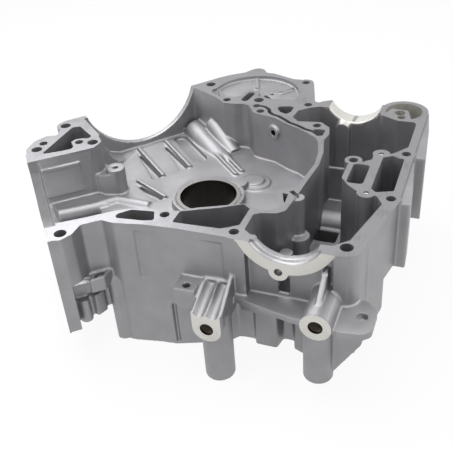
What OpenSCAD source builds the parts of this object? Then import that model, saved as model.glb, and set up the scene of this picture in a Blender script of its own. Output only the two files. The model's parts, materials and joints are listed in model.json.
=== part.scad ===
// Crankcase half of an 80 degree V-twin engine, one aluminium casting with a
// sleeve in its main bore. Millimetres. The joint face lies in the plane z = 0
// and looks up. The crank axis is the z axis, the output shaft runs along x.

/* [Joint face] */
// Clearance hole for the M6 joint bolts
bolt_d = 6.8; // [6:0.1:8]
// Outside radius of a joint bolt boss
boss_r = 6.8; // [6:0.1:8]
// Bore of the dowel and long bolt holes
dowel_d = 8.6; // [7.5:0.1:10]
// Depth of the bolt holes that stop inside the casting
bolt_depth = 38; // [30:1:45]
// Depth of the outer walls along the sump side
rim_h = 52; // [50:1:56]

/* [Crank chamber] */
// Depth of the crank chamber floor below the joint face
floor_z = 42; // [38:0.5:46]
// Thickness of the crank chamber floor
floor_t = 7; // [5:0.5:9]
// Radius of the chamber wall on the sump side
crank_r = 84.4; // [83.4:0.2:85]
// Radius of the raised rim round the main bore
rim_r = 29; // [27.5:0.5:31]
// Height of that rim above the floor
rim_up = 6; // [4:0.5:8]
// Length of the main bore
bore_len = 26; // [22:1:32]
// Bore in the casting that holds the sleeve
sleeve_od = 51; // [49:0.5:53]
// Wall of the sleeve
sleeve_wall = 3; // [2:0.25:4]
// Depth of the two pockets in the near wall
pocket_z = 56; // [40:1:58]

/* [Cylinder mouths] */
// Bore of the mouths that take the cylinder spigots
mouth_d = 108; // [104:0.5:110]
// Deck of the far cylinder, distance from the crank
deck_a = 123.3; // [121:0.1:126]
// Deck of the near cylinder, distance from the crank
deck_b = 128.8; // [127:0.1:131]
// Height of the far cylinder axis above the joint face
offset_a = 17; // [15:0.5:19]
// Depth of the near cylinder axis below the joint face
offset_b = 23; // [21:0.5:25]
// Depth of the deck plate of the near mouth
mouth_b_z = 80; // [78.5:0.5:84]
// Angle of each cylinder from the middle of the V
half_v = 40; // [39:0.5:41]
// Thickness of the deck plates
deck_t = 9; // [7:0.5:11]

// Depth of the lobe beside the near mouth
lobe_z = 40; // [38:0.5:44]

/* [Output shaft] */
// Height of the output shaft axis above the joint face
shaft_z = 13.5; // [12:0.5:15]
// Sideways place of the output shaft axis
shaft_y = -92.5; // [-94:0.5:-91]
// Bore in the near flange
flange_d = 50; // [46:0.5:52]
// Outside radius of the near flange
flange_r = 35; // [33:0.5:37]
// Sideways place of the lug below the near flange
lug_y = -88.5; // [-91:0.5:-86]
// Depth of that lug's hole
lug_z = 20.5; // [19:0.5:23]
// Radius of that lug
lug_r = 6.6; // [6:0.1:8]
// Bore in the far wall
notch_d = 50; // [46:0.5:52]

/* [Sump side] */
// Depth of the sump chamber floor
sump_z = 60; // [57:0.5:64]
// Depth of that chamber along the outer wall
side_z = 46; // [42:0.5:48]
// Thickness of the sump chamber floor
sump_t = 5; // [4:0.5:6]
// Inner radius of the round cup at the far corner
cup_r = 14.8; // [13:0.2:16]
// Outer radius of that cup
cup_or = 19.3; // [18.5:0.1:21]
// Depth of that cup
cup_z = 30; // [20:1:40]

/* [Underside] */
// Depth of the lower edge of the casting
base_z = 106; // [103:1:110]
// Wall of the open lower side
skirt_t = 6; // [5:0.5:8]

/* [Engine mounts] */
// Distance of the mount faces from the crank
mount_x = 124; // [122:0.5:126]
// Radius of the mount boss
mount_r = 10.2; // [9:0.2:12]
// Thread core of the mounts
mount_d = 9.5; // [8:0.1:11]
// Radius of the legs behind the mounts
leg_r = 10.6; // [9:0.2:12]

/* [Hidden] */
$fn = 48;
over = 5;
ang_a = 90 - half_v;
ang_b = 90 + half_v;
mouth_r = mouth_d / 2;
rim_top = floor_z - rim_up;
corner_r = 2.5;
corner_z = 84;
pocket_r = 1.8;
sleeve_id = sleeve_od - 2 * sleeve_wall;

// Joint bolt holes: x and y of each
bolts = [[-83.6, -4.8], [-90.1, -56.9], [-25.9, -145.6], [37.4, -145.6], [19.4, -110.3],
         [96.9, -132.2], [103.2, -53.1], [67.3, -70.2], [97.5, 18.4], [82.4, -17.4],
         [147.4, -39], [-14.1, 135.4], [-4.8, 107.7]];
// Small threaded holes on the sump wall
small_holes = [[33.4, -128.1], [-22.6, -128.1]];
// Dowel and long bolt holes
dowels = [[-122.5, 53.2], [-87.7, -129.7], [104.6, -129.8], [125.5, 44.6], [103, -9.1],
          [-24.5, 135.1], [18.5, 134.4], [-2.4, 96.5]];

// Near wall: shallow panel, slot, slit and the set-back below the flange
panel_top = 6;
panel_low = 46;
wall_slot = [15, 7.6, 14];
wall_slot_z = 42;
slit = [16, 2.6, 37];
setback = [18, 58, 59];
// Shelf, bracket, fins and ear outside
shelf_top = 45;
shelf_t = 5;
bracket_top = 40.6;
bracket_low = 52;
bracket_dip = 4.4;
fin_t = 3;
ear_top = 39;
ear_t = 5.5;
ear_hole = [-103.6, -144.3];
ear_hole_r = 3.4;
web_t = 5;
// Corner rib, and the boss and step under the lobe
corner_rib = [-100, 33.4];
corner_rib_r = 5;
under_lobe = [-114.6, 53];
under_lobe_r = 4.6;
// Floor of the crank chamber: ribs, bars, bosses and the panel beside it
rib_w = 3.2;
rib_up = 2.6;
shelf_r = 5.4;
floor_boss = [36, -26];
column = [-3, 79];
column_r = 7.6;
column_z = 20;
wall_boss = [72.5, -33, -13];
wall_boss_r = 6;
panel_t = 4;
// Drilled holes
small_hole_r = 2;
wall_hole_r = 2.4;
lug_hole_d = 5.6;
mount_hole_l = 25;
cup_boss_r = 6.4;

// A flat shape with its outer and inner corners rounded by r
module rounded(r) {
    offset(r = r, $fn = 20) offset(r = -2 * r, $fn = 20) offset(r = r, $fn = 20) children();
}

// A slab from depth top down to depth bottom
module slab(top, bottom) {
    translate([0, 0, -bottom]) linear_extrude(bottom - top) children();
}

// A cylinder that stands on depth bottom and ends at depth top
module post(x, y, r, top, bottom) {
    translate([x, y, -bottom]) cylinder(r = r, h = bottom - top);
}

// A cylinder that lies along a line square to the crank, seen from above
module lying(angle, r, from, to, z) {
    rotate([0, 0, angle]) translate([from, 0, z]) rotate([0, 90, 0]) cylinder(r = r, h = to - from, $fn = 96);
}

// A cylinder along x at the output shaft
module shaft_line(r, from, to) {
    translate([from, shaft_y, shaft_z]) rotate([0, 90, 0]) cylinder(r = r, h = to - from, $fn = 96);
}

// The point that lies along and across the line at an angle from the crank
function at(a, along, across) = [along * cos(a) - across * sin(a), along * sin(a) + across * cos(a)];

// Outline of the joint face, from the near lobe round by the sump side
module outer_2d() {
    rounded(corner_r)
    polygon(concat([at(ang_b, deck_b - 0.4, 64.8), [-129.5, 49], [-121, 45.2], [-110, 45.2], [-101, 34.4],
             [-102, 25], [-98.3, 4.4], [-96.8, -17.8], [-97, -52], [-98, -60], [-98, -125]],
             arc(dowels[1], 9.6, 190, 256, 4), [[-30, -151.5],
             [104, -151.5], [124, -140], [124, -124], [116, -114.5], [116, -70], [112, -63], [108.4, -61],
             [111, -57], [144.3, -47.4], [150.5, -45], [152.8, -37], [152.5, -26], [161, -5.7], [162, 3],
             [169, 7.6], [170.5, 13.3], [167, 18], [158, 23], [150, 34.3], [142.4, 41.9],
             at(ang_a, deck_a - 0.2, -50.6), at(ang_a, deck_a + 0.1, 52.7), [26.3, 140], [21.3, 141.7], [17.5, 142], [10.8, 135], [1.5, 132], [-2.5, 140.5],
             [-13.3, 144.8], [-27, 143.5],
             at(ang_b, deck_b + 0.2, -50.5), at(ang_b, deck_b - 0.2, 48.5)]));
}

// The crank chamber as it opens in the joint face
module crank_2d() {
    rounded(corner_r)
    polygon([at(ang_b, deck_b + 10.6, 44.9), at(ang_b, deck_b - 7.6, 46.1), [-102, 47.8], [-87.8, 30],
             [-82.5, 20], [-79, 5], [-77.4, -11],
             [-70, -23], [-62, -41], [-57, -52], [-61, -62], [-61.5, -69], [-58, -75.4], [-52.5, -76],
             [-35.6, -70.6], [-31, -75.4], [-18.9, -crank_r + 3.2], [6.8, -crank_r], [25, -crank_r + 1.9],
             [41.8, -77.5], [47, -74.2], [59, -57.3], [63, -48.2],
             [72.9, -32.4], [76.7, -17], [79.5, -11.4], [91, -3.8], [92.6, 2], [90.8, 10], [91, 19],
             [100.5, 30.5], at(ang_a, deck_a - 8.6, -52.3), at(ang_a, deck_a - 4.7, -51),
             at(ang_a, deck_a - 4.7, 5.5), [60, 97], [9.2, 97.5], [0, 90], [-10, 90.8],
             [-20, 101.7], at(ang_b, deck_b - 8, -49.2), at(ang_b, deck_b + 10.3, -48.9)]);
}

// The long chamber on the sump side
module sump_2d() {
    difference() {
        rounded(corner_r)
        polygon([[-90, -68], [-86, -62.6], [-68, -62.4], [-65.4, -66], [-62.6, -77], [-58, -81.9], [-45, -83.2],
                 [-30, -84.6], [-18, -crank_r - 1], [6.8, -crank_r - 3.4], [25, -crank_r - 1.8], [44.5, -81.8],
                 [54.5, -83.4], [66, -80.8], [73.8, -72],
                 [71, -53.3], [77.6, -47], [90, -48], [97, -55], [101.8, -64], [101, -115], [96.8, -117],
                 [90, -130], [90, -144], [86, -145.4], [48, -145.4], [36.8, -137], [19, -118], [13, -107.6],
                 [-7, -107.6], [-15.8, -114], [-22, -121.4], [-25.4, -136], [-34, -141.2], [-79.7, -130],
                 [-88.5, -121]]);
        for (p = [bolts[4], small_holes[0], small_holes[1]]) translate(p) circle(cup_boss_r);
        translate([19, -129]) square([17, 6]);
    }
}

// Pockets that open in the joint face, each with its depth
module pocket_a() {
    rounded(pocket_r)
    polygon([[-96, 25.6], [-93.6, 27.4], [-90.6, 26.7], [-84, 20], [-81.9, 3.6], [-91.6, -0.6], [-94, 6]]);
}
module pocket_b() {
    rounded(pocket_r)
    polygon([[-90.6, -13.3], [-77.2, -13.3], [-66.1, -37.8], [-57.6, -52.2], [-62, -58], [-81.7, -57.8],
             [-85.6, -52.8], [-89.2, -47]]);
}
module pad_pocket() {
    rounded(pocket_r)
    polygon([[-30.5, 127], [17, 127], [20.6, 121.5], [6.7, 102.5], [3, 103.5], [1.3, 109.2], [-1.7, 113.4],
             [-6.6, 114], [-12.5, 108.2], [-16.7, 108], [-21, 113]]);
}
module middle_pocket() {
    rounded(pocket_r)
    polygon([[-20.5, -134], [-16, -130.2], [28.3, -130.2], [32.5, -137], [29.5, -141.8], [29.5, -145.6],
             [-16, -145.8]]);
}
module finger_pocket() {
    rounded(pocket_r)
    polygon([[84.3, -34.3], [89, -30.5], [93.8, -29.5], [96.7, -39], [95.7, -42.9], [87, -42.9], [81.9, -40.5]]);
}
module small_pocket() { polygon([[-37.4, -73.4], [-37.8, -77.6], [-51, -78.6]]); }
module corner_recess() { polygon([[102.5, 27], [110, 37.5], [115.5, 38.8], [119, 35.5]]); }

// Grooves in the crank chamber floor, from the pointed end to the wide one
groove_w = 8;
groove_z = 3.6;
grooves = [[[62, 96], [22.7, 56.5]], [[81.4, 79.1], [42.4, 40.1]], [[9, 70.4], [-8.5, 39.1]]];

// The oil slot that winds between the crank chamber and the pump
slot_w = 3.2;
slot_path = [[55, -75], [59, -62.7], [63.6, -55.5], [67.3, -47.3], [71.8, -41.8], [76.4, -35.5], [78.6, -29.5],
             [82, -25.6], [87, -23.6], [91, -19], [92.6, -12]];

// The points of a path, moved sideways by w
function beside(path, w) = [for (i = [0 : len(path) - 1])
    let (a = path[max(i - 1, 0)], b = path[min(i + 1, len(path) - 1)], d = (b - a) / norm(b - a))
    path[i] + w * [-d[1], d[0]]];

module oil_slot() {
    left = beside(slot_path, slot_w / 2);
    right = beside(slot_path, -slot_w / 2);
    polygon(concat(left, [for (i = [len(right) - 1 : -1 : 0]) right[i]]));
    polygon([[50, -75], [51.6, -78.8], [60.6, -78.8], [61.6, -75.5], [60.4, -70], [56, -68]]);
    translate([91.6, -11]) circle(3.2);
}

// Pump side: a shallow round recess with a rim
pump_c = [116, -2];
pump_r = 38;
module pump_2d() {
    intersection() {
        translate(pump_c) circle(pump_r, $fn = 96);
        polygon([[112, -60], [170, -60], [170, 60], [112, 60], [118, 34], [103, 22.5], [107, 10], [121, 5],
                 [121, -4], [110, -6], [107, -20]]);
    }
}

// The gear side below the joint band, down to the lower edge
module deep_2d() {
    rounded(corner_r) polygon([[-101, 34.4], [-102, 25], [-98.3, 4.4], [-97, -8], [-84, -44], [-76, -50], [-75, -62], [-80, -64],
             [-80, -80], [-69, -82], [-69, -90], [-77, -92], [-84, -110], [-84, -126], [96, -128], [106, -118],
             [108, -64], [126, -44], [138, -10], [130, 28], [106, 48], [62, 84], [6, 96], [-22, 110], [-46, 88],
             [-62, 62], [-84, 44], [-95, 38]]);
}

// Deck plate of a cylinder: flat outside, round below
module deck_plate(angle, deck, z, left, right, low) {
    rotate([0, 0, angle]) translate([deck - deck_t, 0, 0]) {
        translate([0, -right, -low]) cube([deck_t, left + right, low]);
        half_down() translate([0, 0, z]) rotate([0, 90, 0]) cylinder(r = mouth_r + 8, h = deck_t, $fn = 96);
    }
}

// Smooth slope from the pad down to the floor, beside the far mouth
module mouth_slope() {
    rotate([0, 0, ang_a]) translate([78, 0, 0]) rotate([90, 0, 90]) linear_extrude(deck_a - 5 - 78)
        polygon([[0, over], [54.5, over], [54.5, 0], [51, -14], [44, -29], [37, -38], [28, 0.6 - floor_z],
                 [0, 0.6 - floor_z]]);
}

// Keeps what lies below the joint face
module half_down() {
    intersection() {
        children();
        translate([-300, -300, -200]) cube([600, 600, 200]);
    }
}

// Points along an arc of radius r round c, from one angle to another
function arc(c, r, from, to, n) = [for (k = [0 : n]) let (t = from + (to - from) * k / n) c + r * [cos(t), sin(t)]];

// A round-ended bar seen from above, from one point to another
module bar_2d(a, b, w) {
    t = atan2(b[1] - a[1], b[0] - a[0]);
    polygon(concat(arc(a, w / 2, t + 90, t + 270, 8), arc(b, w / 2, t - 90, t + 90, 8)));
}

// A pointed groove seen from above, its point at a
module groove_2d(a, b, w) {
    t = atan2(b[1] - a[1], b[0] - a[0]);
    polygon([a, b + w / 2 * [-sin(t), cos(t)], b - w / 2 * [-sin(t), cos(t)]]);
}

// A round ridge on the floor, its crest at depth one end and the other
module ridge(a, b, r, crest_a, crest_b) {
    d = b - a;
    translate([a[0], a[1], -crest_a - r]) rotate([0, 0, atan2(d[1], d[0])])
        rotate([0, 90 + atan2(crest_b - crest_a, norm(d)), 0]) cylinder(r = r, h = norm(d));
}

// Outer shape of the casting
module bodies() {
    difference() {
        slab(0, rim_h) outer_2d();
        // the lobe ends half way down, and the wall below the flange is set back
        slab(lobe_z, rim_h + 1) polygon([[-140, 30], [-103.5, 38], [-103.5, 52], [-112, 72], [-140, 60]]);
        difference() {
            translate([-110, -124, -60]) cube(setback);
            shaft_line(flange_r, -112, -90);
            translate([-112, lug_y, -lug_z]) rotate([0, 90, 0]) cylinder(r = lug_r, h = 30);
        }
        // shallow panel and slot in the near wall
        slab(panel_top, panel_low) polygon([[-110, -50.5], [-96, -50.5], [-98.2, 12], [-110, 12]]);
        translate([-99, -94, -wall_slot_z]) cube(wall_slot);
    }
    difference() {
        slab(rim_h - 1, base_z) deep_2d();
        translate([-110, -10.6, 2 - base_z]) cube(slit);
    }
    // wall and floor of the sump chamber, beyond the lower body
    slab(rim_h - 1, sump_z + sump_t) polygon([[-92, -58], [-92, -136], [-66, -141], [-66, -58]]);
    // lower body behind the ear, hollow from below
    difference() {
        slab(rim_h - 1, corner_z) polygon([[-88, -118], [-91, -138], [-40, -147], [-40, -118]]);
        slab(sump_z + sump_t + 2, corner_z + 1) polygon([[-82, -124], [-85, -134], [-46, -141], [-46, -124]]);
    }
    deck_plate(ang_a, deck_a, offset_a, 55, 66, 46);
    deck_plate(ang_b, deck_b, -offset_b, 66, 62, mouth_b_z);
    // block round the near mouth, below the side walls
    slab(rim_h - 1, mouth_b_z - 4) intersection() {
        outer_2d();
        rotate(ang_b) translate([deck_b - 50, -46]) square([48, 98]);
    }
    post(108, -132.5, cup_or, 0, rim_h);
    bolt_columns();
    near_wall();
    mount_near();
    mount_right();
}

// Columns under the joint bolts that stand out of the walls
module bolt_columns() {
    for (p = bolts) post(p[0], p[1], boss_r, 0, rim_h + 1);
    for (i = [1 : len(dowels) - 1]) post(dowels[i][0], dowels[i][1], boss_r + 0.4, 0, rim_h + 1);
    // two long pads on the sump wall
    slab(1.5, rim_h + 2) {
        polygon([[-29, -148], [-29, -159], [-11.4, -157.9], [28.4, -152.7], [28.4, -148]]);
        polygon([[34.8, -148], [34.8, -160], [47, -159], [79.5, -156.2], [111, -152], [111, -140]]);
    }
    // shallow upright ribs on the slanted stretch
    slab(5, rim_h) for (k = [0 : 2])
        translate([-78 + 13 * k, -140 - 2 * k]) circle(2.2, $fn = 24);
}

// Ribs, ledges and plates on the near outside wall
module near_wall() {
    // rounded corner rib, from half way down to the lower edge
    post(corner_rib[0], corner_rib[1], corner_rib_r, 50, base_z - 1);
    translate([corner_rib[0], corner_rib[1], -50.01]) cylinder(r1 = corner_rib_r, r2 = 1.6, h = 4);
    // bracket with a hollow top below the lobe
    difference() {
        slab(bracket_top, bracket_low) polygon([[-111.6, 33.6], [-118.6, 41.6], [-107, 47], [-98, 42], [-98, 32.6]]);
        slab(bracket_top - 1, bracket_top + bracket_dip) polygon([[-110.6, 36.2], [-114.6, 40.8], [-108.6, 41.4], [-104.4, 36.4]]);
    }
    // small boss and step under the lobe
    post(under_lobe[0], under_lobe[1], under_lobe_r, 62, mouth_b_z + 1.5);
    slab(60, mouth_b_z - 1.4) polygon([[-112, 44], [-104, 41], [-101, 50], [-110, 58]]);
    // shelf between the mounts
    slab(shelf_top, shelf_top + shelf_t) polygon([[-90, -50], [-101, -54], [-111, -100], [-112, -112], [-90, -112]]);
    // gusset beside the near mount
    translate([-96, -54.6, -mount_near_z]) rotate([90, 0, 0]) linear_extrude(fin_t)
        polygon([[0, 0], [0, 28], [-2, 28], [-26, 12.6], [-26, 0]]);
    // tall fin above the right mount
    translate([-92, -117, -13]) rotate([90, 0, 0]) linear_extrude(fin_t + 0.6)
        polygon([[0, 0], [-2, 0], [-26, -16], [-26, -24], [0, -33]]);
    // ear plate by the corner, with its gusset
    slab(ear_top, ear_top + ear_t) difference() {
        rounded(4) polygon([[-88, -128], [-122, -128], [-120, -147], [-115, -152.5], [-96, -152.5], [-88, -145]]);
        translate(ear_hole) circle(ear_hole_r);
    }
}

// Mount with the U shaped face, its leg, finned top and small side boss
mount_near_y = -46.5;
mount_near_z = 57.6;
leg_near = [-112, -48.5];
scoop_r = 4.4;
scoop_y = 4.6;
side_boss = [-113, -27];
side_boss_z = 46;
module mount_near() {
    post(leg_near[0], leg_near[1], leg_r, mount_near_z - 8, base_z);
    // block with a round lower end that rises to the wall, with two scoops
    difference() {
        union() {
            u_block(mount_near_y, mount_near_z, -mount_x, mount_r, 12.4, 28);
            translate([-96, mount_near_y - mount_r + 0.1, -mount_near_z]) rotate([90, 0, 180])
                linear_extrude(2 * mount_r - 0.2) polygon([[0, 0], [27.9, 0], [27.9, 12.6], [0, 22]]);
        }
        for (side = [-1, 1])
            translate([-mount_x, mount_near_y + side * scoop_y, -mount_near_z + 14.4]) rotate([0, 73, 0])
                cylinder(r = scoop_r, h = 53, center = true);
    }
    // side boss with an upright hole
    difference() {
        u_block(side_boss[1], side_boss_z, side_boss[0], 8, 8.6, 17);
        translate([side_boss[0] + 6, side_boss[1], -50]) cylinder(r = 2.6, h = 20);
    }
}

// A block seen from the front: flat on top, round below, r wide each way
module u_block(y, z, x, r, up, long) {
    translate([x, y, -z]) rotate([90, 0, 90]) linear_extrude(long)
        polygon(concat(arc([0, 0], r, 180, 360, 16), [[r, up], [-r, up]]));
}

// Round faced mount at the right, with its leg and gusset
mount_right_y = -119.6;
mount_right_z = 36.9;
leg_right = [-111, -118.5];
leg_right_z = 89;
module mount_right() {
    post(leg_right[0], leg_right[1], leg_r - 0.6, mount_right_z, leg_right_z);
    translate([-mount_x, mount_right_y, -mount_right_z]) rotate([0, 90, 0]) cylinder(r = mount_r - 0.2, h = 34);
    // web between the leg and the ear
    translate([-112.5, 0, 0]) rotate([90, 0, 90]) linear_extrude(web_t)
        polygon([[-118, -86], [-127, -86], [-146, -55], [-148, -42], [-118, -42]]);
}

// Everything that is cut from above
module top_cuts() {
    slab(-over, floor_z) crank_2d();
    slab(-over, side_z) sump_2d();
    mouth_slope();
    // channel and pointed grooves in the crank chamber floor
    slab(floor_z - 1.5, floor_z + groove_z) bar_2d([64, 34], [93.5, 65.5], 12);
    for (g = grooves) slab(floor_z - 1.5, floor_z + groove_z) groove_2d(g[0], g[1], groove_w);
    slab(-over, sump_z) intersection() {
        sump_2d();
        translate([-140, -122]) square([300, 200]);
    }
    // opening in the sump floor
    slab(sump_z - 1, sump_z + 24) rounded(pocket_r) translate([-4, -103]) square([14, 18.5]);
    slab(-over, 30) small_pocket();
    slab(-over, pocket_z) pocket_a();
    slab(-over, pocket_z) pocket_b();
    slab(-over, 34) pad_pocket();
    slab(-over, side_z) middle_pocket();
    slab(-over, 26) rounded(pocket_r + 1) translate([-12.5, -123.7]) square([27, 12]);
    slab(-over, 40) finger_pocket();
    slab(-over, 3.5) corner_recess();
    slab(-over, 16) oil_slot();
    slab(-over, 3.6) pump_2d();
    slab(-over, 12) bar_2d([101.5, 3.2], [113.5, 1.6], 6.6);
    slab(-over, 9) polygon([[103.5, 12], [106.5, 22], [109, 21], [107, 12]]);
    slab(-over, 10) bar_2d([115.5, -14.5], [120.5, -9], 3);
    post(125, -14, 1.8, -over, 12);
    // cup and its two-hole pad
    difference() {
        post(108, -132.5, cup_r, -over, cup_z);
        slab(-over - 1, cup_z + 1) polygon([[80, -110], [111, -122], [110, -135.5], [95.5, -140], [80, -150]]);
    }
    // small oil hole outside the chamber wall
    post(-38.6, -84, 1.9, -over, 14);
}

// Mouths, shaft bores and the main bore
module bores() {
    lying(ang_a, mouth_r, deck_a - 48, deck_a + over, offset_a);
    lying(ang_b, mouth_r, deck_b - deck_t + 1, deck_b + over, -offset_b);
    lying(ang_b, mouth_r - 4, deck_b - 46, deck_b, -offset_b);
    shaft_line(flange_d / 2, -110, -80);
    shaft_line(flange_d / 2 + 2, -110, -95);
    shaft_line(notch_d / 2, 95, 125);
    translate([0, 0, -rim_top - bore_len - 1]) cylinder(d = sleeve_od, h = bore_len + 40, $fn = 96);
}

// Joint bolt holes and the other drilled holes
module holes() {
    for (p = bolts) post(p[0], p[1], bolt_d / 2, -over, bolt_depth);
    for (p = dowels) post(p[0], p[1], dowel_d / 2, -over, bolt_depth);
    for (p = small_holes) post(p[0], p[1], small_hole_r, -over, 14);
    translate([-mount_x - 1, mount_near_y, -mount_near_z]) rotate([0, 90, 0]) cylinder(d = mount_d, h = mount_hole_l + 1);
    translate([-mount_x - 1, mount_right_y, -mount_right_z]) rotate([0, 90, 0]) cylinder(d = mount_d, h = mount_hole_l + 1);
    translate([-101, lug_y, -lug_z]) rotate([0, 90, 0]) cylinder(d = lug_hole_d, h = 16);
    post(column[0], column[1], small_hole_r + 0.2, 0, column_z + 12);
    translate(wall_boss) rotate([0, 0, -32]) rotate([0, 90, 0]) translate([0, 0, -4])
        cylinder(r = wall_hole_r, h = 5.6);
}

// What stands inside the chambers
module inner_parts() {
    post(0, 0, rim_r, rim_top, rim_top + bore_len);
    post(25, -18, 6, rim_top, floor_z + 2);
    post(floor_boss[0] - 0.5, floor_boss[1] - 1, 12.5, floor_z - 1.5, floor_z + 2);
    post(floor_boss[0], floor_boss[1], 8.5, floor_z - 3.4, floor_z + 2);
    // column on the pad wall
    post(column[0], column[1], column_r, column_z, floor_z + 2);
    slab(column_z + 4, floor_z + 2) polygon([[-3, 71.5], [-10, 76], [-13, 90], [-10, 104], [6, 94], [4.6, 79]]);
    // ridges towards the far mouth
    ridge([66, 8], [113, 59.5], 11, floor_z - 1, floor_z - 12.2);
    ridge([82, 8], [110, 41], 7, floor_z - 4, floor_z - 20.5);
    // round bar on the floor, from the pad wall to the main bore
    ridge([-31, 86.4], [-14.6, 71.4], 5.1, floor_z - 3.8, floor_z - 3.4);
    ridge([-16.4, 75.6], [-18, 44], 4.8, floor_z - 3.5, floor_z - 2.9);
    // thin ribs on the crank chamber floor
    for (r = [[[64.6, 94], [26.8, 52.6]], [[84, 76], [46.6, 36.2]], [[13, 69], [-4.2, 36.6]],
              [[44, -7], [74, 23.5]], [[50, -10], [80, 20]]])
        slab(floor_z - rib_up, floor_z + 2) bar_2d(r[0], r[1], rib_w);
    // raised panel on the pad wall
    translate([-44, 127, 0]) rotate([0, 0, -50]) translate([3, -panel_t, -35]) cube([33, 2 * panel_t, 26]);
    // pilaster, baffle and bosses in the sump chamber
    translate([96.4, -84.4, -17]) rotate([90, 0, 90]) linear_extrude(6)
        polygon(concat(arc([0, 0], 6, 0, 180, 14), [[-6, 15 - sump_z], [6, 15 - sump_z]]));
    slab(30, sump_z + 1) translate([55, -109]) square([3, 30]);
    post(-42, -86, 8, 30, sump_z + 1);
    post(-66, -84, 5, 28, sump_z + 1);
    post(-38.6, -84.4, 4.8, 1, 29);
    ridge([24, -82], [24, -108], 11, sump_z - 9, sump_z - 9);
    // ring boss on the chamber wall
    translate(wall_boss) rotate([0, 0, -32]) rotate([0, 90, 0]) translate([0, 0, -2.4])
        cylinder(r = wall_boss_r, h = 5);
    // ribs in the pump recess
    slab(1.4, 5) bar_2d([131, 2], [152, 9.5], 3);
    slab(1.4, 5) bar_2d([128, -21], [138, -29], 2.6);
}

// Hollow underside: open below, with the floors left above it
module underside() {
    // below the sump floor
    difference() {
        slab(sump_z + sump_t, base_z + over) offset(delta = -skirt_t) deep_2d();
        under_ribs(sump_z, base_z - 16);
        slab(sump_z, sump_z + 30) translate([-8, -107]) square([22, 26.5]);
        lying(ang_b, mouth_r + 6, deck_b - 50, deck_b, -offset_b);
    }
    // below the crank chamber floor
    difference() {
        slab(floor_z + floor_t, sump_z + sump_t + 1) intersection() {
            offset(delta = -skirt_t) crank_2d();
            offset(delta = -skirt_t) deep_2d();
        }
        under_ribs(floor_z, sump_z + sump_t + 2);
        lying(ang_b, mouth_r + 6, deck_b - 50, deck_b, -offset_b);
    }
    // below the pump recess and the valley pad
    difference() {
        slab(14, base_z) intersection() {
            translate(pump_c) circle(pump_r - 2);
            translate([104, -60]) square([80, 110]);
            offset(delta = -skirt_t) deep_2d();
        }
        for (p = [[125.5, 44.6], [97.5, 18.4], [103, -9.1]]) post(p[0], p[1], boss_r + 1, 0, rim_h);
        slab(0, rim_h) translate([104, -4]) square([60, 4]);
    }
    slab(34 + skirt_t, base_z) polygon([[-26, 120], [12, 120], [2, 103], [-16, 105]]);
}

// Bearing boss and ribs under the crank chamber
module under_ribs(top, bottom) {
    post(0, 0, rim_r + 6, top, rim_top + bore_len);
    slab(top, bottom) for (a = [20 : 60 : 320]) rotate(a) translate([rim_r, -2.5]) square([100, 5]);
    post(-98.4, 34, 8, top, bottom);
}

module crankcase_casting() {
    color([0.66, 0.67, 0.68]) {
        machined_casting();
        foot_shelf();
    }
}

module machined_casting() {
    difference() {
        union() {
            difference() {
                bodies();
                top_cuts();
                underside();
            }
            inner_parts();
        }
        bores();
        holes();
    }
}

// Shelf with a round edge along the foot of the pad wall, inside the near mouth
module foot_shelf() {
    ridge([-47.8, 110.2], [-24, 78.4], shelf_r, floor_z - 3.3, floor_z - 3.3);
    slab(floor_z - 1.2, floor_z + 8.4) polygon([[-47.4, 110.6], [-22, 76.8], [-10, 93], [-38.6, 122.6]]);
}

// Sleeve in the main bore
module main_bearing_sleeve() {
    color([0.25, 0.22, 0.2]) translate([0, 0, -rim_top - bore_len]) difference() {
        cylinder(d = sleeve_od, h = bore_len, $fn = 96);
        translate([0, 0, -1]) cylinder(d = sleeve_id, h = bore_len + 2, $fn = 96);
    }
}

crankcase_casting();
main_bearing_sleeve();
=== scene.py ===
# %% [markdown]
# A crankcase half is one die casting of aluminium alloy. Its skin is blasted and
# dull, its joint faces and bores are milled bright, and a dark sleeve sits in its
# main bore. It could be modelled again by eye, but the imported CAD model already
# gives every size, so it is loaded first and all that follows is built on it.

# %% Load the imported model
import json
import math

import bmesh
import bpy
import numpy as np
from mathutils import Matrix, Vector


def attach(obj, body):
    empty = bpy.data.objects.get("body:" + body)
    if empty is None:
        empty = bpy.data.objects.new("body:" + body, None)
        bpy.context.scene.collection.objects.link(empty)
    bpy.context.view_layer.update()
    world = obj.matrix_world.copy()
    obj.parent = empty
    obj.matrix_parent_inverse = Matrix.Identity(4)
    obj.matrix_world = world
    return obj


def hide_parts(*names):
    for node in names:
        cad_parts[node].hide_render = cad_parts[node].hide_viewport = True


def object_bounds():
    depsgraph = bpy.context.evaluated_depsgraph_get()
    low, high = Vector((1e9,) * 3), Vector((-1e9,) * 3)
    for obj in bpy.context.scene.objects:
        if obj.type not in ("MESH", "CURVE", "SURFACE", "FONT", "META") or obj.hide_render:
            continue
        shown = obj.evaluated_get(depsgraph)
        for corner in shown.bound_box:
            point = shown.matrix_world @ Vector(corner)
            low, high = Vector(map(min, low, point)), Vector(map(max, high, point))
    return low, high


MM = 0.001
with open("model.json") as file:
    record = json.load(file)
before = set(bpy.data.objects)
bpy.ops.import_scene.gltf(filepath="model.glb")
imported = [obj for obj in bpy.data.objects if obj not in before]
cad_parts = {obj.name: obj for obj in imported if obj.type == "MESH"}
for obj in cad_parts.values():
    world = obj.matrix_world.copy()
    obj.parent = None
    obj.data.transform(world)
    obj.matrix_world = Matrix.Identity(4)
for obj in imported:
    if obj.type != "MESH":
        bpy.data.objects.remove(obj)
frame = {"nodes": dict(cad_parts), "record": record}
cad_low, cad_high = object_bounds()
casting = frame["nodes"]["crankcase_casting"]
sleeve = frame["nodes"]["main_bearing_sleeve"]
mounts = {mount["name"]: mount for mount in frame["record"]["mounts"]}
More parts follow.
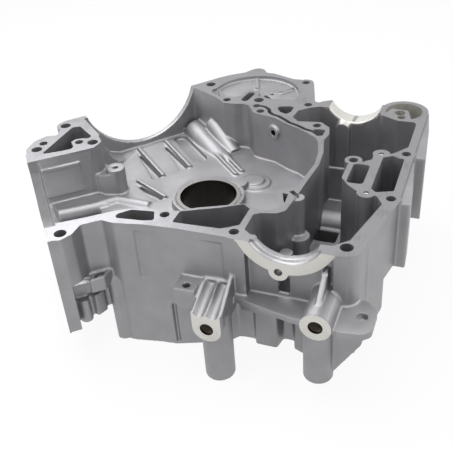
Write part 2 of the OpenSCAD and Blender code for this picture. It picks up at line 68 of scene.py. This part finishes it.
print("CAD box, mm:", [round(v / MM, 1) for v in cad_low], [round(v / MM, 1) for v in cad_high])

# %% [markdown]
# The camera looks down over the flange side of the casting, from its near left.
# It could be placed by eye, but the bolt holes of the joint face lie in one plane
# and give the view exactly, so the photograph can be laid over the render. The
# camera starts upright, and is rolled, tipped down and turned about the vertical.

# %% Camera
PHOTO_PX = 452
FOCAL_PX = 719.54
SENSOR_MM = 36.0
CAMERA_PLACE = (-0.4403, -0.2022, 0.2639)
PITCH, ROLL, YAW = math.radians(34.345), math.radians(4.5287), math.radians(66.75)

lens = bpy.data.cameras.new("photo_camera")
lens.sensor_width = SENSOR_MM
lens.lens = FOCAL_PX / PHOTO_PX * SENSOR_MM
lens.clip_start = 0.01
camera = bpy.data.objects.new("photo_camera", lens)
bpy.context.scene.collection.objects.link(camera)
rolled = Matrix.Rotation(-ROLL, 4, "Z")
tipped = Matrix.Rotation(math.radians(90) - PITCH, 4, "X")
turned = Matrix.Rotation(-YAW, 4, "Z")
camera.matrix_world = Matrix.Translation(CAMERA_PLACE) @ turned @ tipped @ rolled
bpy.context.scene.camera = camera
bpy.context.scene.view_settings.view_transform = "Standard"
print("lens, mm:", round(lens.lens, 2))

# %% [markdown]
# Every colour is written as the sRGB hex that an eye sees, and one function turns
# it to the linear numbers that the renderer wants. A second function adds a node
# with all its settings, and a third starts a metal.

# %% Colour and node helpers
def linear(hex_colour):
    """Linear RGBA of an sRGB hex colour."""
    parts = [int(hex_colour[i:i + 2], 16) / 255 for i in (1, 3, 5)]
    return [p / 12.92 if p <= 0.04045 else ((p + 0.055) / 1.055) ** 2.4 for p in parts] + [1.0]


def add(owner, kind, settings=None, feeds=(), stops=(), **links):
    """Adds a node. Settings are its properties or its inputs' values, feeds go to
    its inputs in their order, links go to the inputs that they name, and stops are
    the places and the colours of a colour ramp."""
    node = owner.node_tree.nodes.new(kind)
    for key, value in (settings or {}).items():
        if hasattr(node, key):
            setattr(node, key, value)
        else:
            node.inputs[key].default_value = value
    for place, source in enumerate(feeds):
        owner.node_tree.links.new(source, node.inputs[place])
    for number, (place, colour) in enumerate(stops):
        node.color_ramp.elements[number].position = place
        node.color_ramp.elements[number].color = linear(colour)
    for key, source in links.items():
        owner.node_tree.links.new(source, node.inputs[key.replace("_", " ")])
    return node


def metal(name, metallic, roughness, colour=None):
    """A new metal and its shader. A colour that is the same all over is set on the shader."""
    material = bpy.data.materials.new(name)
    material.use_nodes = True
    shader = material.node_tree.nodes["Principled BSDF"]
    shader.inputs["Metallic"].default_value = metallic
    shader.inputs["Roughness"].default_value = roughness
    if colour:
        shader.inputs["Base Color"].default_value = linear(colour)
    return material, shader


print("aluminium grey in linear light:", [round(v, 3) for v in linear("#9f9ea1")])

# %% [markdown]
# Die cast aluminium that was blasted with fine shot is a metal with a dull, even
# skin. The shot leaves pits of about 0.3 mm, drawn here at 0.8 mm so that they
# show, and the alloy has faint clouds where it froze at different speeds. Both are
# noise on Object coordinates, so the pattern keeps its real size on every piece.

# %% Cast metal
CLOUD_MM, PIT_MM = 28, 0.8


def cast_skin():
    """Shot blasted die cast aluminium."""
    material, shader = metal("blasted_die_cast_aluminium", 0.85, 0.5)
    links = material.node_tree.links
    place = add(material, "ShaderNodeTexCoord").outputs["Object"]
    clouds = add(material, "ShaderNodeTexNoise",
                 {"Scale": 1 / (CLOUD_MM * MM), "Detail": 3.0, "Roughness": 0.55}, Vector=place)
    pits = add(material, "ShaderNodeTexNoise",
               {"Scale": 1 / (PIT_MM * MM), "Detail": 2.0, "Roughness": 0.6}, Vector=place)
    tone = add(material, "ShaderNodeValToRGB", stops=((0.30, "#908f91"), (0.72, "#9f9ea1")),
               Fac=clouds.outputs["Fac"])
    dull = add(material, "ShaderNodeMapRange", {"To Min": 0.42, "To Max": 0.56},
               Value=clouds.outputs["Fac"])
    bump = add(material, "ShaderNodeBump", {"Strength": 0.22, "Distance": 0.12 * MM},
               Height=pits.outputs["Fac"])
    links.new(tone.outputs["Color"], shader.inputs["Base Color"])
    links.new(dull.outputs["Result"], shader.inputs["Roughness"])
    links.new(bump.outputs["Normal"], shader.inputs["Normal"])
    return material


skin_metal = cast_skin()
print("cast finish:", skin_metal.name)

# %% [markdown]
# The joint face and the cylinder decks were face milled. The cutter leaves fine
# parallel marks, about 0.15 mm apart and drawn at 0.9 mm so that they show, on metal
# that is smoother than the cast skin and so mirrors the lamps more. A noise that is
# stretched along one direction gives such marks. The flange, the mounts and the plug
# cup were end milled, which leaves them paler, and the mouths were bored. In the plug
# cup and in the far shaft opening this pale metal is also painted light: it makes
# their insides brighter than the light there makes them.

# %% Milled, bored and tapped metal
MARK_MM, STAIN_MM = 0.9, 18
MARK_TURN = math.radians(24)


def milled(name, light, dark, roughness, squeeze):
    """Machined aluminium, with fine marks that a squeeze along X, Y and Z stretches."""
    material, shader = metal(name, 0.9, roughness)
    links = material.node_tree.links
    place = add(material, "ShaderNodeTexCoord").outputs["Object"]
    turn = add(material, "ShaderNodeMapping", {"Rotation": (0, 0, MARK_TURN), "Scale": squeeze},
               Vector=place)
    marks = add(material, "ShaderNodeTexNoise",
                {"Scale": 1 / (MARK_MM * MM), "Detail": 2.0, "Roughness": 0.6},
                Vector=turn.outputs["Vector"])
    stains = add(material, "ShaderNodeTexNoise", {"Scale": 1 / (STAIN_MM * MM), "Detail": 3.0},
                 Vector=place)
    both = add(material, "ShaderNodeMath", {"operation": "ADD"},
               feeds=(marks.outputs["Fac"], stains.outputs["Fac"]))
    tone = add(material, "ShaderNodeValToRGB", stops=((0.75, dark), (1.0, light)),
               Fac=both.outputs["Value"])
    bump = add(material, "ShaderNodeBump", {"Strength": 0.06, "Distance": 0.05 * MM},
               Height=marks.outputs["Fac"])
    links.new(tone.outputs["Color"], shader.inputs["Base Color"])
    links.new(bump.outputs["Normal"], shader.inputs["Normal"])
    return material


face_metal = milled("face_milled_aluminium", "#949497", "#868689", 0.34, (0.12, 1, 1))
end_milled_and_painted_light_metal = milled("end_milled_aluminium_and_painted_light", "#d2d0cb", "#c4c2bd", 0.45, (1, 1, 1))
bored_metal = milled("bored_aluminium", "#a3a3a5", "#939395", 0.45, (1, 1, 6))
# A tapped hole keeps dark cutting oil in its thread. The same dark oily metal is
# painted shade on the faces of the drilled hole in the chamber wall.
oily_thread_and_painted_shade_metal = metal("oily_thread_aluminium_and_painted_shade", 0.9, 0.35, "#3d372f")[0]
print("machined finishes:", face_metal.name, end_milled_and_painted_light_metal.name, bored_metal.name, oily_thread_and_painted_shade_metal.name)

# %% [markdown]
# The sleeve in the main bore is cast iron, bored and then oiled, and much darker
# than the aluminium round it. The boring tool leaves rings about 0.1 mm apart, drawn
# at 0.8 mm so that they show. Its two ends were faced, so its rim shines. The CAD
# sleeve already has the right shape, so it stays and only takes these two metals.

# %% Sleeve iron
SCORE_MM = 0.8
END_FACE = 0.3

iron, iron_shader = metal("bored_oiled_cast_iron", 0.9, 0.38)
iron_place = add(iron, "ShaderNodeTexCoord").outputs["Object"]
iron_turn = add(iron, "ShaderNodeMapping", {"Scale": (0.15, 0.15, 1)}, Vector=iron_place)
iron_marks = add(iron, "ShaderNodeTexNoise", {"Scale": 1 / (SCORE_MM * MM), "Detail": 2.0},
                 Vector=iron_turn.outputs["Vector"])
iron_tone = add(iron, "ShaderNodeValToRGB", stops=((0.0, "#191817"), (1.0, "#302d2a")),
                Fac=iron_marks.outputs["Fac"])
iron.node_tree.links.new(iron_tone.outputs["Color"], iron_shader.inputs["Base Color"])
rim_metal = metal("faced_cast_iron", 0.9, 0.4, "#8f8d8b")[0]
sleeve.data.materials.clear()
sleeve.data.materials.append(iron)
sleeve.data.materials.append(rim_metal)
for face in sleeve.data.polygons:
    face.material_index = int(abs(face.normal.z) > END_FACE)
print("faced sleeve faces:", sum(face.material_index for face in sleeve.data.polygons))

# %% [markdown]
# Every new piece starts as a bmesh, Blender's mesh in the making. One function
# turns it to an object at the origin. Another bakes an object's modifiers in, so
# that the next step works on the plain result. The CAD mesh is loose triangles, so
# a copy of it has its points merged before anything else is done to it.

# %% Piece helpers
TOUCHING = 0.001


def piece_from(name, shape):
    """Turns a bmesh to a piece of that name, and frees the bmesh."""
    mesh = bpy.data.meshes.new(name)
    shape.to_mesh(mesh)
    shape.free()
    piece = bpy.data.objects.new(name, mesh)
    bpy.context.scene.collection.objects.link(piece)
    return piece


def settled(piece):
    """Applies the modifiers of a piece."""
    graph = bpy.context.evaluated_depsgraph_get()
    mesh = bpy.data.meshes.new_from_object(piece.evaluated_get(graph))
    piece.modifiers.clear()
    piece.data = mesh
    return piece


def solid_copy(name):
    """A merged copy of the casting's CAD mesh."""
    shape = bmesh.new()
    shape.from_mesh(casting.data)
    bmesh.ops.remove_doubles(shape, verts=shape.verts, dist=TOUCHING * MM)
    return piece_from(name, shape)


def triangles(piece):
    """How many triangles a piece makes, with its larger faces split."""
    return sum(len(face.vertices) - 2 for face in piece.data.polygons)


print("casting triangles in the CAD:", triangles(casting))

# %% [markdown]
# A casting has no sharp cast edge: every corner of the mould is rounded, and only
# the cutter leaves crisp ones. A Bevel modifier would tangle where so many walls
# cross. So the CAD solid is copied, remeshed at 0.75 mm and smoothed, which rounds
# all its edges and fills its inside corners. The skin is then sunk 0.05 mm, so that
# the machined planes stand over it, and thinned to stay under 200,000 triangles.

# %% Cast skin from the CAD solid
VOXEL = 0.75
ROUNDS, PULL = 4, 0.5
UNDER = 0.05
SKIN_TRIANGLES = 188000

skin = solid_copy("cast_skin")
remesh = skin.modifiers.new("remesh", "REMESH")
remesh.mode, remesh.voxel_size = "VOXEL", VOXEL * MM
smooth = skin.modifiers.new("smooth", "SMOOTH")
smooth.factor, smooth.iterations = PULL, ROUNDS
sink = skin.modifiers.new("sink", "DISPLACE")
sink.direction, sink.mid_level, sink.strength = "NORMAL", 0, -UNDER * MM
settled(skin)
thin = skin.modifiers.new("thin", "DECIMATE")
thin.ratio = SKIN_TRIANGLES / (2 * len(skin.data.polygons))
settled(skin)
print("cast skin triangles:", triangles(skin))

# %% [markdown]
# A cutter is played by a block that is never seen and a Boolean modifier. The
# manifold solver is the quick one, and serves because both meshes are closed. The
# cylinder decks stand at an angle, so a block can be turned about the crank axis.
# The first cut takes the skin away in a thin band under the joint face.

# %% Cutting tools
BAND = 1.6
PAST = 5
JOINT_BAND = ((-200, -200, -BAND), (200, 200, PAST))


def block(name, low_corner, high_corner, turn=0.0):
    """A box for cutting, given by its corners in mm and turned about the crank axis."""
    shape = bmesh.new()
    bmesh.ops.create_cube(shape, size=1)
    low, high = Vector(low_corner) * MM, Vector(high_corner) * MM
    bmesh.ops.scale(shape, vec=high - low, verts=shape.verts)
    bmesh.ops.translate(shape, vec=(low + high) / 2, verts=shape.verts)
    about_crank = Matrix.Rotation(math.radians(turn), 3, "Z")
    bmesh.ops.rotate(shape, cent=(0, 0, 0), matrix=about_crank, verts=shape.verts)
    return piece_from(name, shape)


def cut(piece, tool, how):
    """Keeps what is inside the tool (INTERSECT) or outside it (DIFFERENCE)."""
    step = piece.modifiers.new("cut", "BOOLEAN")
    step.operation, step.object, step.solver = how, tool, "MANIFOLD"
    return settled(piece)


band_tool = block("band_tool", *JOINT_BAND)
cut(skin, band_tool, "DIFFERENCE")
bpy.data.objects.remove(band_tool)
print("skin triangles under the band:", triangles(skin))

# %% [markdown]
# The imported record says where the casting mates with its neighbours, so the
# machined places are read from it: the angle and the distance of each deck, the
# flange, and the two threaded engine mounts.

# %% Places from the record
def place_of(name):
    """Where a mount of the record is, in mm."""
    return [round(v / MM, 1) for v in mounts[name]["pos_m"]]


def deck_of(name):
    """The angle of a deck about the crank axis, and its distance from it in mm."""
    place, axis = Vector(mounts[name]["pos_m"]), Vector(mounts[name]["axis"])
    angle = math.degrees(math.atan2(axis.y, axis.x))
    return round(angle, 1), round(place.dot(axis) / MM, 1)


ANGLE_FAR, DECK_FAR = deck_of("far_deck")
ANGLE_NEAR, DECK_NEAR = deck_of("near_deck")
FLANGE_X, SHAFT_Y, _ = place_of("shaft_flange")
# The record gives the middle of the mount holes, and their faces lie at this x
MOUNT_FACE_X = -124.0
# Each thread's name, with a point on the axis of its hole
MOUNT_HOLES = {
    "near_mount_thread": place_of("near_engine_mount"),
    "right_mount_thread": place_of("right_engine_mount"),
}
MOUNT_HOLE_R = mounts["near_engine_mount"]["dims"]["r_mm"]
print("decks:", (ANGLE_FAR, DECK_FAR), (ANGLE_NEAR, DECK_NEAR), "mounts:", MOUNT_HOLES)

# %% [markdown]
# A milled face meets the cast wall in a crisp edge. Sharp edges could be creased
# into the skin, but slices of the CAD solid itself have them already: the thin band
# under the joint face, and thin slices at the decks, the flange and the two mount
# faces. The band fills the cut in the skin, and the others stand just proud of it.

# %% Crisp machined slices
SLICE = 1.2
# Each block's two corners and its turn. It reaches past the face, and past the
# casting where nothing else is in its way.
slices = {
    "joint_face_band": JOINT_BAND,
    "far_deck_band": ((DECK_FAR - SLICE, -100, -120), (DECK_FAR + PAST, 100, -BAND), ANGLE_FAR),
    "near_deck_band": ((DECK_NEAR - SLICE, -100, -120), (DECK_NEAR + PAST, 100, -BAND), ANGLE_NEAR),
    "flange_face": ((FLANGE_X - 1, -128, -37), (FLANGE_X + 1, -60, -BAND)),
    "mount_faces": ((MOUNT_FACE_X - 2, -140, -70), (MOUNT_FACE_X + SLICE, -30, -20)),
}
crisp = {}
for name, corners in slices.items():
    tool = block(name + "_tool", *corners)
    crisp[name] = cut(solid_copy(name), tool, "INTERSECT")
    bpy.data.objects.remove(tool)
    print(name, "triangles:", triangles(crisp[name]))

# %% [markdown]
# A small oil hole with a milled notch lies beside the chamber wall. Both are cut in
# the skin and in the joint face, as a drill and a slot cutter would do.

# %% Oil hole and its notch
OIL_HOLE = {"x": -38.1, "y": -83.6, "radius": 1.9, "depth": 14.0}
NOTCH_TURN = 48.0
NOTCH = ((-87.5, -29.4, -3), (-80.5, -26.0, PAST), NOTCH_TURN)


def drill(name, x, y, radius, depth):
    """A round tool in mm that goes down from the joint face, and as far above it."""
    shape = bmesh.new()
    bmesh.ops.create_cone(shape, cap_ends=True, segments=32, radius1=radius * MM,
                          radius2=radius * MM, depth=2 * depth * MM)
    bmesh.ops.translate(shape, vec=Vector((x, y, 0)) * MM, verts=shape.verts)
    return piece_from(name, shape)


for tool in (drill("drill", **OIL_HOLE), block("notch_tool", *NOTCH)):
    for piece in (skin, crisp["joint_face_band"]):
        cut(piece, tool, "DIFFERENCE")
    bpy.data.objects.remove(tool)
print("skin triangles after the oil hole:", triangles(skin))

# %% [markdown]
# Each face takes its finish from where it is. It could be painted by hand or with
# a mask image, but a machined face always lies in a plane or round a line, so its
# centre and its normal tell which tool has been there. Most holes and rings are
# found by one question: how far along a line is this face, and how far from it?

# %% Lines and distances
CAST, MILLED, BORED, TAPPED_AND_PAINTED_SHADE, END_MILLED_AND_PAINTED_LIGHT = range(5)
FINISHES = (skin_metal, face_metal, bored_metal, oily_thread_and_painted_shade_metal, end_milled_and_painted_light_metal)
ALONG_X, ALONG_Z = (1, 0, 0), (0, 0, 1)


def centres_and_normals(piece):
    """The centre of each face in mm, and its normal."""
    count = len(piece.data.polygons)
    centre, normal = np.zeros(count * 3), np.zeros(count * 3)
    piece.data.polygons.foreach_get("center", centre)
    piece.data.polygons.foreach_get("normal", normal)
    return centre.reshape(-1, 3) / MM, normal.reshape(-1, 3)


def direction(angle):
    """The level direction at an angle in degrees about the crank axis."""
    return np.array([math.cos(math.radians(angle)), math.sin(math.radians(angle)), 0])


def from_line(centre, point, heading):
    """How far each centre lies along a line through a point, and away from it."""
    start = centre - np.array(point, float)
    along = start @ np.array(heading, float)
    return along, np.linalg.norm(start - np.outer(along, heading), axis=1)


print("heading of the far deck:", direction(ANGLE_FAR).round(4).tolist())

# %% [markdown]
# Flat places first, in mm: the joint face, the faced ring on the boss of the main
# bore, the two mount faces, and the flange with its lug. A face belongs to a plane
# when its normal is square to it and its centre at it, or a little under it, because
# the skin is sunk.

# %% Flat machined places
FLAT = 0.9
UNDER_PLANE = 0.2
# The ring on the boss lies within one circle about the bore and one about a spot beside it
BOSS_Z, BOSS_R, BOSS_NEAR = -36.0, 28.8, 0.6
SPOT = (-1.5, 1.5, 0)
SHAFT_LINE, RING_R = (0, SHAFT_Y, 13.5), 35.3
LUG_LINE, LUG_R = (0, -88.5, -20.5), 6.8
# The mount faces lie on the near side of this y
MOUNTS_Y = -30


def plane_cuts(centre, normal):
    """Masks of the faces in each flat place, with their finish."""
    x, y, z = centre.T
    bore = from_line(centre, (0, 0, 0), ALONG_Z)[1]
    spot = from_line(centre, SPOT, ALONG_Z)[1]
    ring = from_line(centre, SHAFT_LINE, ALONG_X)[1]
    lug = from_line(centre, LUG_LINE, ALONG_X)[1]
    up, outward = normal[:, 2] > FLAT, normal[:, 0] < -FLAT
    on_boss = (spot < BOSS_R) & (bore < BOSS_R) & (np.abs(z - BOSS_Z) < BOSS_NEAR)
    yield up & (z > -UNDER_PLANE), MILLED
    yield up & on_boss, MILLED
    yield outward & (x < MOUNT_FACE_X + UNDER_PLANE) & (y < MOUNTS_Y), END_MILLED_AND_PAINTED_LIGHT
    yield outward & (x < FLANGE_X + UNDER_PLANE) & ((ring < RING_R) | (lug < LUG_R)), END_MILLED_AND_PAINTED_LIGHT


print("flange at x, mm:", FLANGE_X, "mounts at x, mm:", MOUNT_FACE_X)

# %% [markdown]
# Then the round places: the shaft opening in both end walls, the plug cup, the decks
# with their cylinder mouths, the engine mount holes, and the drilled hole in the
# chamber wall. The far shaft opening and the inside of the plug cup take the pale
# end-milled metal as painted light, and the drilled hole takes the dark oily metal as
# painted shade. A bore counts from a little outside its radius, because the smoothed
# skin wanders. Where two tools meet, the last one wins.

# %% Round machined places
OUTSIDE_BORE = 0.4
# The opening's radius, and how far from the crank axis its two walls begin
OPENING_R, OPENING_X, LEVEL = 27.3, 80, 0.999
CUP_LINE, CUP_R, CUP_END = (108.0, -132.5, 0), 14.8, -31
# A mouth's wall has a step inward, and its faces look neither along it nor down
MOUTH_R, MOUTH_STEP, MOUTH_SIDE, MOUTH_DOWN = 54.0, 4.6, 0.5, -0.2
# Each mouth: the angle and distance of its deck, the height of its axis, and its depth
MOUTHS = ((ANGLE_FAR, DECK_FAR, 17.0, 48), (ANGLE_NEAR, DECK_NEAR, -23.0, 46))
# A tapped hole's faces end at this x, and its milled rim isn't one of them
TAPPED_R, TAPPED_END, TAPPED_RIM = 5.1, -90, -0.8
# The drilled hole in the chamber wall, its turn, and the radius and reach of its painted shade
WALL_HOLE, WALL_TURN, WALL_HOLE_SHADE_R, WALL_HOLE_SHADE_REACH = (72.5, -33.0, -13.0), -32.0, 2.7, 2.3


def round_cuts(centre, normal):
    """Masks of the faces in each round place, with their finish."""
    x, y, z = centre.T
    ring = from_line(centre, SHAFT_LINE, ALONG_X)[1]
    opening = (ring < OPENING_R) & (np.abs(x) > OPENING_X) & (z < 0)
    opening &= np.abs(normal[:, 2]) < LEVEL
    yield opening, BORED
    # Painted light: the far half takes the pale end-milled metal, brighter than its shade
    yield opening & (x > 0), END_MILLED_AND_PAINTED_LIGHT
    # Painted light: the inside of the plug cup takes the pale end-milled metal
    cup = from_line(centre, CUP_LINE, ALONG_Z)[1]
    yield (cup < CUP_R + OUTSIDE_BORE) & (z > CUP_END) & (z < -UNDER_PLANE), END_MILLED_AND_PAINTED_LIGHT
    for angle, deck, height, depth in MOUTHS:
        heading = direction(angle)
        along, away = from_line(centre, (0, 0, height), heading)
        facing = normal @ heading
        wall = (away < MOUTH_R + OUTSIDE_BORE) & (away > MOUTH_R - MOUTH_STEP)
        wall &= (np.abs(facing) < MOUTH_SIDE) & (normal[:, 2] > MOUTH_DOWN)
        yield (along > deck - UNDER_PLANE) & (facing > FLAT), MILLED
        yield wall & (along > deck - depth), BORED
    for hole in MOUNT_HOLES.values():
        away = from_line(centre, hole, ALONG_X)[1]
        yield (away < TAPPED_R) & (x < TAPPED_END) & (normal[:, 0] > TAPPED_RIM), TAPPED_AND_PAINTED_SHADE
    # Painted shade: the drilled hole's faces take the dark oily metal, so the hole shows black
    along, away = from_line(centre, WALL_HOLE, direction(WALL_TURN))
    yield (away < WALL_HOLE_SHADE_R) & (np.abs(along) < WALL_HOLE_SHADE_REACH), TAPPED_AND_PAINTED_SHADE


print("mouths, angle, deck, height and depth:", MOUTHS)

# %% [markdown]
# Now each piece takes its finishes. The skin is shaded smooth but keeps every edge
# of more than 38 degrees sharp, because smooth shading over a large flat face throws
# false light, and the slices are shaded flat, as milled faces are.

# %% Finish of each face
SHARP = math.radians(38)


def finish_faces(piece):
    """Gives each face of a piece its finish, and says how many have each."""
    piece.data.materials.clear()
    for finish in FINISHES:
        piece.data.materials.append(finish)
    centre, normal = centres_and_normals(piece)
    index = np.full(len(centre), CAST)
    for cuts in (plane_cuts, round_cuts):
        for faces, finish in cuts(centre, normal):
            index[faces] = finish
    piece.data.polygons.foreach_set("material_index", index.astype(np.int32))
    piece.data.update()
    print(piece.name, "faces by finish:", np.bincount(index, minlength=len(FINISHES)).tolist())


for piece in (skin, *crisp.values()):
    finish_faces(piece)
    if piece is skin:
        piece.data.shade_smooth()
        piece.data.set_sharp_from_angle(angle=SHARP)
    else:
        piece.data.shade_flat()
    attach(piece, "root")
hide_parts("crankcase_casting")

# %% [markdown]
# The two mount holes and two small holes in the joint face are tapped. A thread is
# one ridge wound round the hole. A bump would vanish from the mesh, and the real
# pitch is coarse enough to model, so a small triangle is spun about the hole's axis
# while it moves along it, one pitch a turn.

# %% Tapped threads
TURN_STEPS = 24
# A ridge's foot as a share of the pitch, and how far it is sunk in the wall
RIDGE_FOOT, IN_WALL = 0.9, 0.03
# How far in from the mount faces the first turn starts
LEAD_IN = 1
SMALL_HOLES = {
    "far_pocket_thread": (33.4, -128.1, -0.8),
    "near_pocket_thread": (-22.6, -128.1, -0.8),
}
MOUNT_THREAD = {"radius": MOUNT_HOLE_R + IN_WALL, "pitch": 1.25, "ridge": 0.62, "length": 15.0}
SMALL_THREAD = {"radius": 2.0 + IN_WALL, "pitch": 1.0, "ridge": 0.5, "length": 8.0}


def wind_thread(name, start, inward, finish, radius, pitch, ridge, length):
    """A thread ridge wound inward from a point in mm on the hole's axis."""
    shape = bmesh.new()
    start, inward = Vector(start), Vector(inward)
    outward = inward.orthogonal().normalized()
    foot = RIDGE_FOOT * pitch
    corners = ((0.0, radius), (foot, radius), (foot / 2, radius - ridge))
    places = [start + along * inward + off * outward for along, off in corners]
    points = [shape.verts.new(place * MM) for place in places]
    profile = shape.faces.new(points)
    turns = length / pitch
    bmesh.ops.spin(shape, geom=[profile, *profile.edges, *points], cent=start * MM, axis=inward,
                   dvec=inward * (pitch * MM / TURN_STEPS), angle=2 * math.pi * turns,
                   steps=int(turns * TURN_STEPS))
    bmesh.ops.remove_doubles(shape, verts=shape.verts, dist=TOUCHING * MM)
    bmesh.ops.recalc_face_normals(shape, faces=shape.faces)
    thread = piece_from(name, shape)
    thread.data.materials.append(finish)
    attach(thread, "root")
    print(name, "faces:", len(thread.data.polygons))


for name, (_, hole_y, hole_z) in MOUNT_HOLES.items():
    start = (MOUNT_FACE_X + LEAD_IN, hole_y, hole_z)
    wind_thread(name, start, (1, 0, 0), oily_thread_and_painted_shade_metal, **MOUNT_THREAD)
for name, start in SMALL_HOLES.items():
    wind_thread(name, start, (0, 0, -1), end_milled_and_painted_light_metal, **SMALL_THREAD)

# %% [markdown]
# The floor is a wide pale sheet at the lowest edge of the casting, as on a product
# table. More light would burn it white, but would burn the casting too. So a share
# of it is plain white to the eye alone, straight or in a mirror, and the rest is
# matt paint that still takes a soft shadow.

# %% Floor
FLOOR_REACH = 4.0
FLOOR_GAP = 0.2
FLOOR_WHITE = 0.92


def seen(owner):
    """1 for what the camera sees, straight, mirrored or through glass, and 0 for other light."""
    rays = add(owner, "ShaderNodeLightPath")
    mirrored = add(owner, "ShaderNodeMath", {"operation": "MAXIMUM"},
                   feeds=(rays.outputs["Is Camera Ray"], rays.outputs["Is Glossy Ray"]))
    through = add(owner, "ShaderNodeMath", {"operation": "MAXIMUM"},
                  feeds=(mirrored.outputs["Value"], rays.outputs["Is Transmission Ray"]))
    return through.outputs["Value"]


floor_shape = bmesh.new()
bmesh.ops.create_grid(floor_shape, x_segments=1, y_segments=1, size=FLOOR_REACH)
bmesh.ops.translate(floor_shape, vec=(0, 0, cad_low[2] - FLOOR_GAP * MM), verts=floor_shape.verts)
floor = piece_from("floor", floor_shape)
floor_paint, floor_shader = metal("matt_white_table", 0.0, 0.9, "#ededed")
share = add(floor_paint, "ShaderNodeMath", {"operation": "MULTIPLY"}, feeds=(seen(floor_paint),))
share.inputs[1].default_value = FLOOR_WHITE
glow = add(floor_paint, "ShaderNodeEmission", {"Color": linear("#ffffff"), "Strength": 1.0})
blend = add(floor_paint, "ShaderNodeMixShader",
            feeds=(share.outputs["Value"], floor_shader.outputs["BSDF"], glow.outputs["Emission"]))
floor_out = floor_paint.node_tree.nodes["Material Output"]
floor_paint.node_tree.links.new(blend.outputs["Shader"], floor_out.inputs["Surface"])
floor.data.materials.append(floor_paint)
print("floor at, mm:", round(floor.data.vertices[0].co.z / MM, 2))

# %% [markdown]
# The world round the table could be an image of a studio, but a weak even light does
# as well for a matt casting. It is plain white to the eye, by the same choice of rays
# as the floor.

# %% World
WORLD_LIGHT = 0.42
world = bpy.data.worlds.new("studio")
bpy.context.scene.world = world
world.use_nodes = True
base = world.node_tree.nodes["Background"]
base.inputs["Color"].default_value = linear("#eeedef")
base.inputs["Strength"].default_value = WORLD_LIGHT
bright = add(world, "ShaderNodeBackground", {"Color": linear("#ffffff")})
mix = add(world, "ShaderNodeMixShader",
          feeds=(seen(world), base.outputs["Background"], bright.outputs["Background"]))
world_out = world.node_tree.nodes["World Output"]
world.node_tree.links.new(mix.outputs["Shader"], world_out.inputs["Surface"])
print("world light:", WORLD_LIGHT)

# %% [markdown]
# A product photograph is lit by soft boxes, so each lamp is a square that is wide
# for its distance: a large one overhead, two behind that draw light lines on the
# edges, and one in front, farther away, that opens the shadows of the near wall.

# %% Lamps
# Name, place in metres, the point it is aimed at, width in metres and power in watts
LAMPS = (
    ("overhead_box", (-0.1, 0.1, 1.0), (0, 0, 0), 1.1, 9.0),
    ("back_box", (0.32, 0.48, 0.62), (-0.1, 0, 0), 0.5, 3.0),
    ("left_box", (-0.55, 0.75, 0.45), (0, 0, -0.05), 0.6, 2.0),
    ("front_fill", (0.2, -1.1, 0.5), (0, 0, -0.05), 0.7, 5.0),
)


def softbox(name, place, aim, width, power):
    """A square area lamp at a place, aimed at a point."""
    lamp = bpy.data.lights.new(name, "AREA")
    lamp.shape, lamp.size, lamp.energy = "SQUARE", width, power
    holder = bpy.data.objects.new(name, lamp)
    bpy.context.scene.collection.objects.link(holder)
    holder.location = place
    holder.rotation_euler = (Vector(aim) - Vector(place)).to_track_quat("-Z", "Y").to_euler()


for row in LAMPS:
    softbox(*row)
print("lamps:", [row[0] for row in LAMPS])
